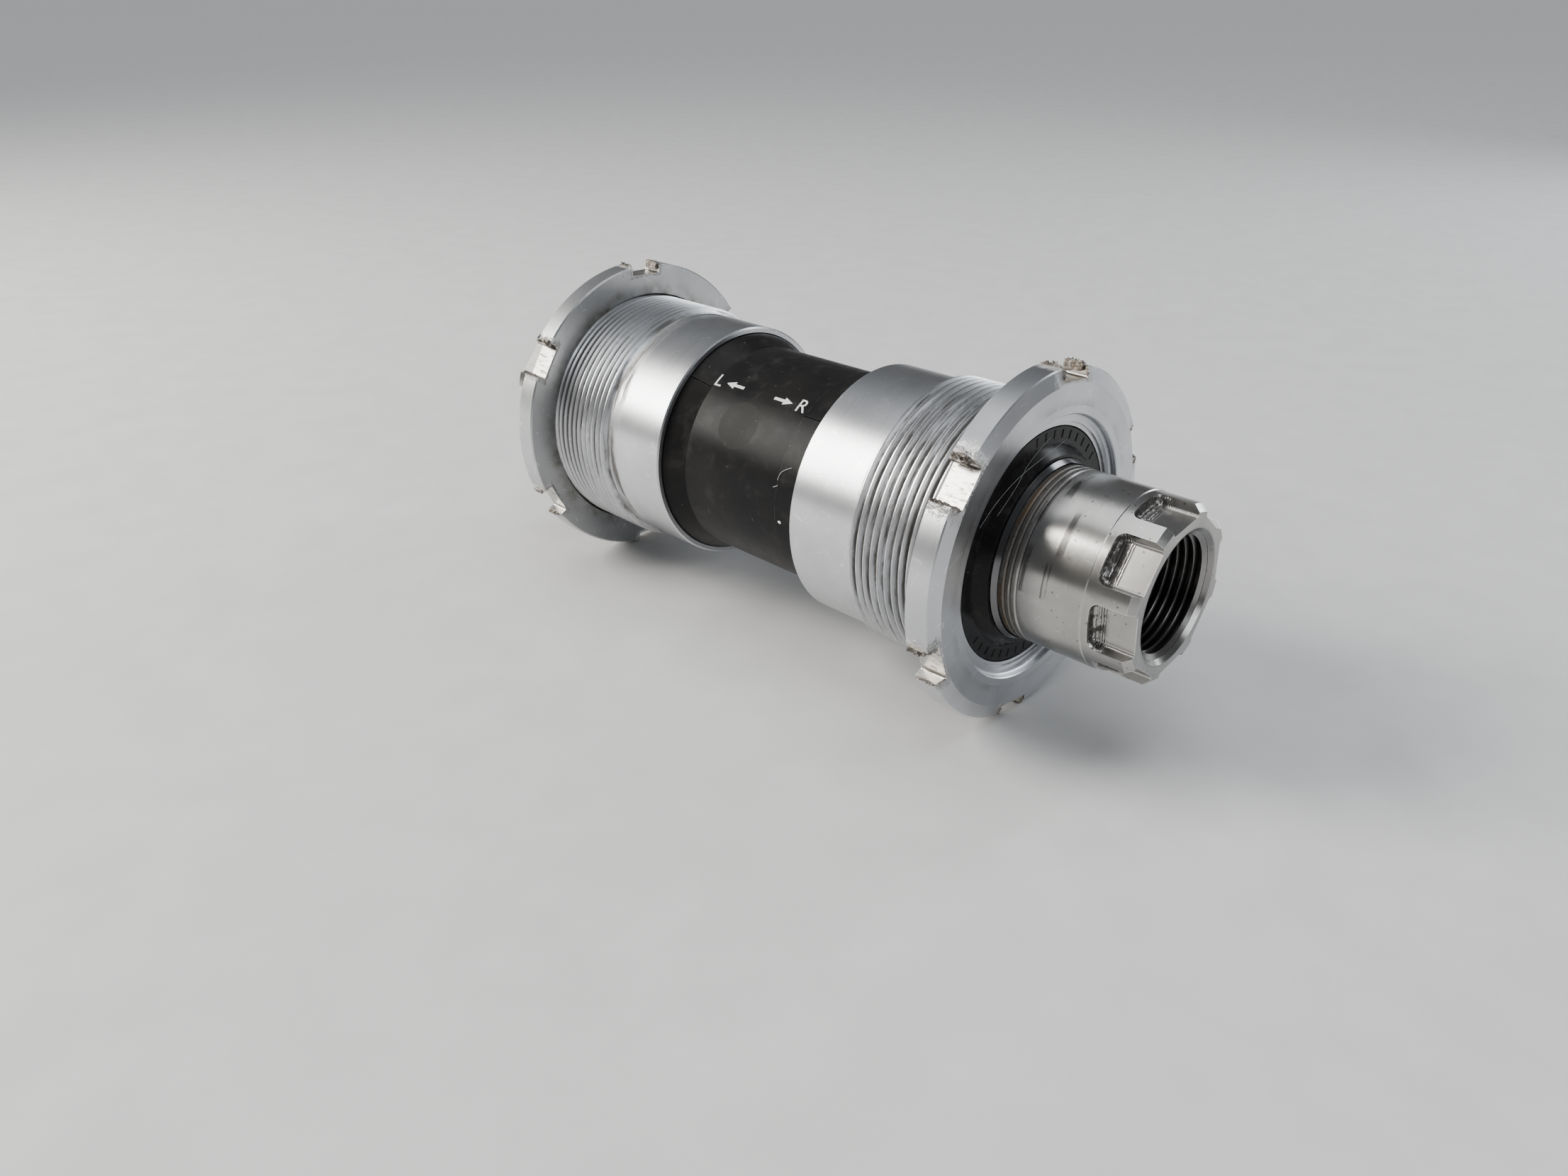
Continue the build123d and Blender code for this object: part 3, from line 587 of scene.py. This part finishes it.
def makePlastic(name, finish):
    tones, shares, bumps = plasticFinish["tones"], plasticFinish["shares"], plasticFinish["bumps"]
    material, tree, shader = newMaterial(name, Metallic=0.0, Specular_IOR_Level=finish["shine"])
    place = useGroup(tree, "turnedPlace")["Place"]
    grain = useGroup(tree, "grain", Size=finish["grain"])
    marks = useGroup(tree, "scratches", Spacing=2.8, Share=0.1)["Mask"]
    dust = useGroup(tree, "specks", Spacing=1.1, Size=0.05, Share=0.25 * finish["dust"])["Mask"]
    worn = useGroup(tree, "edgeWear", Width=0.15, Breakup=0.8)["Mask"]
    dull = noiseOf(tree, place, 0.35, 6.0, 0.65)
    tone = blend(tree, grain["Tone"], rgb(finish["tone"]), rgb(finish["shade"]))
    rough = swing(tree, finish["roughness"], dull, 0.35)
    if "mark" in finish:
        centre, size = finish["mark"]
        feeds = {0: place, 1: onAxle(*centre) / mm}
        far = addNode(tree, "VectorMath", feeds, operation="DISTANCE").outputs["Value"]
        disc = fade(tree, far, size, size - 0.12)
        tone = paintOver(tree, tone, disc, shares["mark"], tones["mark"])
        rough = calc(tree, "ADD", rough, times(tree, disc, 0.12))
    film = fade(tree, dull, *plasticFinish["filmFrom"])
    tone = paintOver(tree, tone, film, shares["film"] * finish["dust"], tones["film"])
    light = tuple(min(1.0, channel * 3 + 0.10) for channel in finish["tone"])
    tone = paintOver(tree, tone, calc(tree, "MAXIMUM", marks, worn), shares["scratch"], light)
    tone = paintOver(tree, tone, dust, shares["dust"], tones["dust"])
    normal = bumped(tree, grain["Height"], *bumps["grain"])
    normal = bumped(tree, marks, *bumps["scratch"], normal)
    setShader(tree, shader, tone, rough, normal)
    return material


paleFinish = {    # tone, roughness and size of the grain in mm
    "floorPaint": ((0.66, 0.66, 0.66), 0.65, 4.0),
    "whiteInk": ((0.78, 0.80, 0.78), 0.5, 0.1),
    "lintFibre": ((0.55, 0.55, 0.53), 0.8, 0.1),
    "chipPaint": ((0.85, 0.85, 0.84), 0.55, 0.1),
}


def makePale(name):
    # a pale surface with a little grain and uneven tone
    tone, roughness, size = paleFinish[name]
    material, tree, shader = newMaterial(name, Roughness=roughness)
    grain = useGroup(tree, "grain", Size=size)
    darker = tuple(channel * 0.94 for channel in tone)
    tree.links.new(blend(tree, grain["Tone"], rgb(tone), rgb(darker)), shader.inputs["Base Color"])
    tree.links.new(bumped(tree, grain["Height"], 0.15, 0.01), shader.inputs["Normal"])
    return material


studio = {
    "floorSize": 14.0,    # m, so the floor runs out past the horizon
    "horizon": (0.52, 0.51, 0.50), "zenith": (0.80, 0.84, 0.90), "strength": 0.22,
    "backdrop": (0.40, 0.405, 0.41),
}


def makeStage():
    bm = bmesh.new()
    bmesh.ops.create_grid(bm, x_segments=1, y_segments=1, size=studio["floorSize"])
    mesh = bpy.data.meshes.new("floor")
    bm.to_mesh(mesh)
    bm.free()
    floor = addObject("floor", mesh)
    floor.location = (0, 0, cadBox[0].z)
    mesh.materials.append(makePale("floorPaint"))


def makeWorld():
    # dim soft light all round; what is seen past the floor is the same pale grey as the floor
    world = bpy.data.worlds.new("studio")
    bpy.context.scene.world = world
    world.use_nodes = True
    tree = world.node_tree
    height = addNode(tree, "SeparateXYZ", {0: addNode(tree, "TexCoord").outputs["Generated"]}).outputs[2]
    shade = blend(tree, fade(tree, height, -0.1, 0.9), rgb(studio["horizon"]), rgb(studio["zenith"]))
    soft = tree.nodes["Background"]
    soft.inputs["Strength"].default_value = studio["strength"]
    tree.links.new(shade, soft.inputs["Color"])
    seen = addNode(tree, "Background", {"Color": rgb(studio["backdrop"])})
    straight = addNode(tree, "LightPath").outputs["Is Camera Ray"]
    either = addNode(tree, "MixShader", {0: straight, 1: soft.outputs[0], 2: seen.outputs[0]})
    tree.links.new(either.outputs[0], tree.nodes["World Output"].inputs["Surface"])


def onAxle(radius, angle, along):
    # a point in metres from millimetres out, degrees round and millimetres along the axle
    turn = math.radians(angle)
    return Vector((radius * math.cos(turn), along, radius * math.sin(turn))) * mm


def newPiece(name, bm, material, body, smooth=False):
    mesh = bpy.data.meshes.new(name)
    bmesh.ops.recalc_face_normals(bm, faces=bm.faces)
    bm.to_mesh(mesh)
    bm.free()
    if smooth:
        mesh.shade_smooth()
    mesh.materials.append(material)
    piece = addObject(name, mesh)
    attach(piece, body)


def closeWall(bm, near, far):
    # the faces between two loops with the same number of corners
    for corner in range(len(near)):
        after = (corner + 1) % len(near)
        bm.faces.new((near[corner], near[after], far[after], far[corner]))


ridge = {
    "step": 0.09,       # mm between two sections
    "section": ((-0.5, -0.35), (-0.36, 0.35), (-0.05, 1.0), (0.26, 0.5), (0.5, -0.35)),    # across and up
    # shares of the full size, drawn at random
    "heights": (0.25, 1.0), "widths": (0.7, 1.1), "pushes": (0.1, 0.7),
    "endTaper": 6.0, "endHeight": 0.15,    # how fast the ends rise, and how high they start
    "rimWidth": 0.42, "faceWidth": 0.34,
}


def addRidge(bm, draw, start, end, lift, lean, height, width):
    # a ragged ridge of torn metal from start to end, standing up along lift and pushed over along lean
    steps = max(10, int((end - start).length / (ridge["step"] * mm)))
    across = lean.cross(end - start).cross(end - start).normalized()
    if across.dot(lean) < 0:
        across = -across
    rings = []
    for step in range(steps + 1):
        share = step / steps
        rise = min(1.0, ridge["endTaper"] * share, ridge["endTaper"] * (1 - share))
        taper = rise * (1 - ridge["endHeight"]) + ridge["endHeight"]
        tall = height * mm * taper * draw.uniform(*ridge["heights"])
        wide = width * mm * (0.5 + 0.5 * taper) * draw.uniform(*ridge["widths"])
        push = lean * height * mm * draw.uniform(*ridge["pushes"]) * taper
        centre = start.lerp(end, share)
        rings.append([bm.verts.new(centre + across * wide * u + lift * tall * v + push * max(0, v))
                      for u, v in ridge["section"]])
    for near, far in zip(rings, rings[1:]):
        closeWall(bm, near, far)
    bm.faces.new(rings[0])
    bm.faces.new(rings[-1][::-1])


burrs = {    # first is the angle of the first notch; back and front are where its walls start and end, in mm
    "flange": {"body": "fixed_cup", "slot": "cup_alloy", "first": 21.7, "floor": 20.2, "rim": 21.8,
               "halfWidth": 2.65, "back": -34.15, "front": -37.0, "face": 0.5, "side": 0.7, "lump": 0.6,
               "strength": (0.6, 1.1, 1.3, 1.0, 0.7, 0.9), "seed": 5},
    "lockRing": {"body": "lock_ring", "slot": "ring_alloy", "first": 27.5, "floor": 20.6, "rim": 22.0,
                 "halfWidth": 2.5, "back": 34.55, "front": 37.35, "face": 0.0, "side": 0.55, "lump": 0.7,
                 "strength": (0.5, 1.0, 1.2, 1.1, 0.6, 0.7), "seed": 9},
}


lumps = {
    "cuts": 3, "crumple": 0.16, "crumpleScale": 2.1, "nextCrumple": 7.3, "roundness": 0.12, "fullness": 0.85,
    "lengths": (0.45, 0.8), "places": (0.35, 0.6),    # shares of the wall, drawn at random
    "width": 0.7, "height": 1.5, "drop": 0.28, "shift": 0.1,    # mm
}


def addLump(bm, crumplePlace, centre, reach):
    # a block of metal dragged out of the notch, squarish and crumpled
    start = len(bm.verts)
    bmesh.ops.create_cube(bm, size=1.0)
    bm.verts.ensure_lookup_table()
    edges = list(dict.fromkeys(edge for vert in bm.verts[start:] for edge in vert.link_edges))
    bmesh.ops.subdivide_edges(bm, edges=edges, cuts=lumps["cuts"], use_grid_fill=True)
    bm.verts.ensure_lookup_table()
    for vert in bm.verts[start:]:
        crumple = noise.noise_vector(vert.co * lumps["crumpleScale"] + Vector((crumplePlace, 0, 0)))
        crumpled = vert.co + crumple * lumps["crumple"]
        shaped = crumpled.normalized() * lumps["roundness"] + crumpled * lumps["fullness"]
        vert.co = centre + sum((axis * part for axis, part in zip(reach, shaped)), Vector())


def addWallBurrs(bm, draw, spec, number, wall):
    # the burrs of one wall of a notch: along its rim, on the flange's face, and the lump that was dragged out
    strength = spec["strength"][number]
    turn = math.radians(spec["first"] + 60 * number)
    outward = Vector((math.cos(turn), 0, math.sin(turn)))
    around = Vector((-math.sin(turn), 0, math.cos(turn)))
    rimReach = math.sqrt(spec["rim"] ** 2 - spec["halfWidth"] ** 2)
    side = around * wall * spec["halfWidth"] * mm
    start = side + outward * rimReach * mm + Vector((0, spec["back"] * mm, 0))
    end = side + outward * rimReach * mm + Vector((0, spec["front"] * mm, 0))
    size = spec["side"] * strength * draw.uniform(0.6, 1.1)
    lift = (outward + around * wall * 0.25).normalized()
    addRidge(bm, draw, start, end, lift, around * -wall, size, ridge["rimWidth"])
    if spec["face"]:
        inner = side + outward * (spec["floor"] + 0.15) * mm
        inner += Vector((0, (spec["front"] - ridge["rimWidth"]) * mm, 0))
        size = spec["face"] * strength * draw.uniform(0.5, 1.0)
        addRidge(bm, draw, inner, end, Vector((0, -1, 0)), around * -wall, size, ridge["faceWidth"])
    if wall < 0:    # the spanner drags its lump to one side only
        length = abs(spec["front"] - spec["back"]) * draw.uniform(*lumps["lengths"])
        middle = start.lerp(end, draw.uniform(*lumps["places"]))
        middle -= outward * lumps["drop"] * mm + around * wall * lumps["shift"] * mm
        reach = (around * lumps["width"] * strength * mm, Vector((0, length * mm, 0)),
                 outward * lumps["height"] * spec["lump"] * strength * mm)
        addLump(bm, spec["seed"] + number * lumps["nextCrumple"], middle, reach)


def makeBurrs(name, material):
    # metal pushed up by the spanner's teeth along the walls of each notch
    spec = burrs[name]
    draw = random.Random(spec["seed"])
    bm = bmesh.new()
    for number in range(len(spec["strength"])):
        for wall in (-1, 1):
            addWallBurrs(bm, draw, spec, number, wall)
    newPiece(name + "Burrs", bm, material, spec["body"])


sleevePrint = {    # in mm, unless it says otherwise
    "radius": 14.5,
    "angle": 124.0,       # degrees round the sleeve, the middle of the row
    "height": 0.025,      # how far the ink stands proud
    "sunk": 0.02,         # how far its underside lies in the sleeve
    "arrowTips": (("arrowLeft", 7.7, -1), ("arrowRight", -4.3, 1)),
    "arrowLength": 3.2,
    "headLength": 1.5,
    "headWidth": 1.15,
    "shaftWidth": 0.42,
    "letterHeight": 2.8,
    "letters": (("L", 9.1), ("R", -5.9)),
    "bendStep": 0.12,     # the flat drawing is cut into strips this wide, so that it bends round the sleeve
    "bendCount": 14,
}


def wrapFlat(bm, along):
    # bends a flat drawing in mm, x towards the right side and y up, into a thin shell on the sleeve
    for step in range(-sleevePrint["bendCount"], sleevePrint["bendCount"] + 1):
        geometry = bm.verts[:] + bm.edges[:] + bm.faces[:]
        cut = (0, step * sleevePrint["bendStep"], 0)
        bmesh.ops.bisect_plane(bm, geom=geometry, plane_co=cut, plane_no=(0, 1, 0))
    top = bmesh.ops.extrude_face_region(bm, geom=bm.faces[:])
    raised = {item for item in top["geom"] if isinstance(item, bmesh.types.BMVert)}
    for vert in bm.verts:
        flat = vert.co.copy()
        radius = sleevePrint["radius"] + (sleevePrint["height"] if vert in raised else -sleevePrint["sunk"])
        angle = sleevePrint["angle"] - math.degrees(flat.y / sleevePrint["radius"])
        vert.co = onAxle(radius, angle, along - flat.x)


def makePrint(material):
    # the white side marks on the sleeve: two arrows, with L and R beyond their tips
    head, long = sleevePrint["headLength"], sleevePrint["arrowLength"]
    wide, shaft = sleevePrint["headWidth"] / 2, sleevePrint["shaftWidth"] / 2
    corners = ((0, 0), (-head, wide), (-head, shaft), (-long, shaft), (-long, -shaft), (-head, -shaft),
               (-head, -wide))
    for name, tip, way in sleevePrint["arrowTips"]:
        bm = bmesh.new()
        bm.faces.new([bm.verts.new((x * way, y, 0)) for x, y in corners])
        wrapFlat(bm, tip)
        newPiece(name, bm, material, "fixed_cup")
    for letter, along in sleevePrint["letters"]:
        text = bpy.data.curves.new("letter" + letter, "FONT")
        text.body = letter
        text.align_x = "CENTER"
        text.align_y = "CENTER"
        text.size = sleevePrint["letterHeight"]
        holder = bpy.data.objects.new("letterShape", text)
        bm = bmesh.new()
        bm.from_mesh(bpy.data.meshes.new_from_object(holder))
        bpy.data.objects.remove(holder)
        wrapFlat(bm, along)
        newPiece("letter" + letter, bm, material, "fixed_cup")


flash = {    # angles in degrees, the rest in mm
    "radius": 14.62, "along": -7.42, "seam": 129.0, "seamReach": 7.0, "from": 110.0, "to": 151.0, "step": 2.4,
    "height": 0.16, "width": 0.24, "seamWidth": 0.3, "seed": 12,
}


def makeFlash(material):
    # a ragged lip of plastic left along the edge of the sleeve's band, worst where it meets the seam
    draw = random.Random(flash["seed"])
    bm = bmesh.new()
    angle = flash["from"]
    while angle < flash["to"]:
        middle = angle + flash["step"] / 2
        outward = onAxle(1 / mm, middle, 0).normalized()
        near = max(0.0, 1 - abs(middle - flash["seam"]) / flash["seamReach"])
        height = flash["height"] * (0.25 + 1.4 * near) * draw.uniform(0.4, 1.0)
        start = onAxle(flash["radius"], angle, flash["along"] + draw.uniform(-0.05, 0.05))
        end = onAxle(flash["radius"], angle + flash["step"] * draw.uniform(0.85, 1.25), flash["along"])
        width = flash["width"] + flash["seamWidth"] * near
        addRidge(bm, draw, start, end, outward, Vector((0, 1, 0)), height, width)
        angle += flash["step"]
    newPiece("sleeveFlash", bm, material, "fixed_cup")


coverMarks = {    # mm and degrees
    "inner": 13.15, "outer": 14.25, "width": 0.34, "innerWidth": 0.272, "inset": 0.07, "slope": 0.25,
    "face": 36.35, "height": 0.09, "sunk": 0.03, "step": 7.5, "spans": ((38, 98), (218, 278)),
}


def addBar(bm, angle, way):
    # one raised bar, a little smaller on top than at its foot
    inner = (coverMarks["inner"], coverMarks["innerWidth"], 1)
    outer = (coverMarks["outer"], coverMarks["width"], -1)
    foot, head = [], []
    for (radius, width, inward), hand in ((inner, -1), (inner, 1), (outer, 1), (outer, -1)):
        corner = angle + hand * math.degrees(width / 2 / radius)
        foot.append(bm.verts.new(onAxle(radius, corner, way * (coverMarks["face"] - coverMarks["sunk"]))))
        top = (radius + inward * coverMarks["inset"], corner - hand * coverMarks["slope"],
               way * (coverMarks["face"] + coverMarks["height"]))
        head.append(bm.verts.new(onAxle(*top)))
    bm.faces.new(foot)
    bm.faces.new(head)
    closeWall(bm, foot, head)


def makeCoverMarks(material):
    # short raised bars moulded on the face of each dust cover
    for name, way, body in (("right", -1, "fixed_cup"), ("left", 1, "adjustable_cup")):
        bm = bmesh.new()
        for first, last in coverMarks["spans"]:
            angle = first
            while angle <= last:
                addBar(bm, angle, way)
                angle += coverMarks["step"]
        newPiece(name + "CoverMarks", bm, material, body)


lint = {    # thick in mm; the points each hair runs past are out, round and along the axle
    "sleeveCurl": {"body": "fixed_cup", "thick": 0.035,
                   "points": ((14.75, 155, -9.2), (14.85, 157, -8.2), (14.8, 160, -7.5), (14.72, 163, -7.4))},
    "sleeveBit": {"body": "fixed_cup", "thick": 0.04,
                  "points": ((14.73, 165.5, -7.6), (14.78, 166.3, -7.3), (14.73, 167, -6.9))},
    "sealHair": {"body": "fixed_cup", "thick": 0.018,
                 "points": ((12.9, 75, -36.7), (12.3, 95, -37.3), (12.6, 120, -37.0), (13.2, 140, -36.55),
                            (13.9, 152, -36.5))},
    "sealHairTwo": {"body": "fixed_cup", "thick": 0.015,
                    "points": ((13.6, 88, -36.5), (12.8, 108, -36.75), (12.1, 124, -37.35),
                               (12.4, 143, -37.1))},
    "flangeFluff": {"body": "fixed_cup", "thick": 0.02,
                    "points": ((17.45, 196, -24.4), (17.6, 199, -24.9), (17.5, 203, -24.6),
                               (17.5, 205, -25.4))},
}


def makeLint(material):
    # fine hairs and lint caught on the sleeve, the seal and the flange's thread
    for name, spec in lint.items():
        curve = bpy.data.curves.new(name, "CURVE")
        curve.dimensions = "3D"
        curve.bevel_depth = spec["thick"] * mm
        curve.bevel_resolution = 1
        line = curve.splines.new("NURBS")
        line.points.add(len(spec["points"]) - 1)
        for point, place in zip(line.points, spec["points"]):
            point.co = (*onAxle(*place), 1)
        line.order_u = 3
        line.use_endpoint_u = True
        curve.materials.append(material)
        piece = addObject(name, curve)
        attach(piece, spec["body"])


chip = {"place": (14.74, -176.2, -8.35), "size": (0.09, 0.30, 0.20), "uneven": (0.8, 1.15), "seed": 3}


def makeChip(material):
    # a white chip of paint stuck to the sleeve's band
    draw = random.Random(chip["seed"])
    bm = bmesh.new()
    bmesh.ops.create_icosphere(bm, subdivisions=2, radius=1.0)
    for vert in bm.verts:
        vert.co *= draw.uniform(*chip["uneven"])
        shaped = Vector([part * size for part, size in zip(vert.co, chip["size"])])
        vert.co = onAxle(*chip["place"]) + shaped * mm
    newPiece("paintChip", bm, material, "fixed_cup", smooth=True)


makeCamera()
makeLamps()
makeWorld()
print("camera and lights made")

for makeGroup in (makeTurnedPlace, makeTurnedLines, makeEdgeWear, makeCornerShade, makeScratches, makeSpecks,
                  makeGrain, makeNotchWear):
    makeGroup()
print("shared effects made")

makeStage()
print("floor made")

finishes = {
    "cup_alloy": makeAlloy("cupAlloy", alloyFinish["cup"]),
    "ring_alloy": makeAlloy("ringAlloy", alloyFinish["ring"]),
    "spindle_steel": makeSpindleSteel(),
    "bearing_steel": makeSteel("bearingSteel", steelFinish["bearing"]),
    "cage_steel": makeSteel("cageSteel", steelFinish["cage"]),
    "spring_steel": makeSteel("springSteel", steelFinish["spring"]),
    "cage_nylon": makePlastic("cageNylon", plasticFinish["nylon"]),
    "sleeve_plastic": makePlastic("sleevePlastic", plasticFinish["sleeve"]),
    "cover_plastic": makePlastic("coverPlastic", plasticFinish["cover"]),
    "seal_rubber": makePlastic("sealRubber", plasticFinish["rubber"]),
}
slotOf = {row["node"]: row["material_slot"] for row in frame["record"]["subparts"]}
for node, piece in frame["nodes"].items():
    for slot in piece.material_slots:
        slot.material = finishes[slotOf[node]]
print("materials on", len(slotOf), "nodes")

tornMetal = makeTornMetal()
makeBurrs("flange", tornMetal)
makeBurrs("lockRing", tornMetal)
makePrint(makePale("whiteInk"))
makeFlash(finishes["sleeve_plastic"])
makeCoverMarks(finishes["cover_plastic"])
makeLint(makePale("lintFibre"))
makeChip(makePale("chipPaint"))
print("added pieces made")
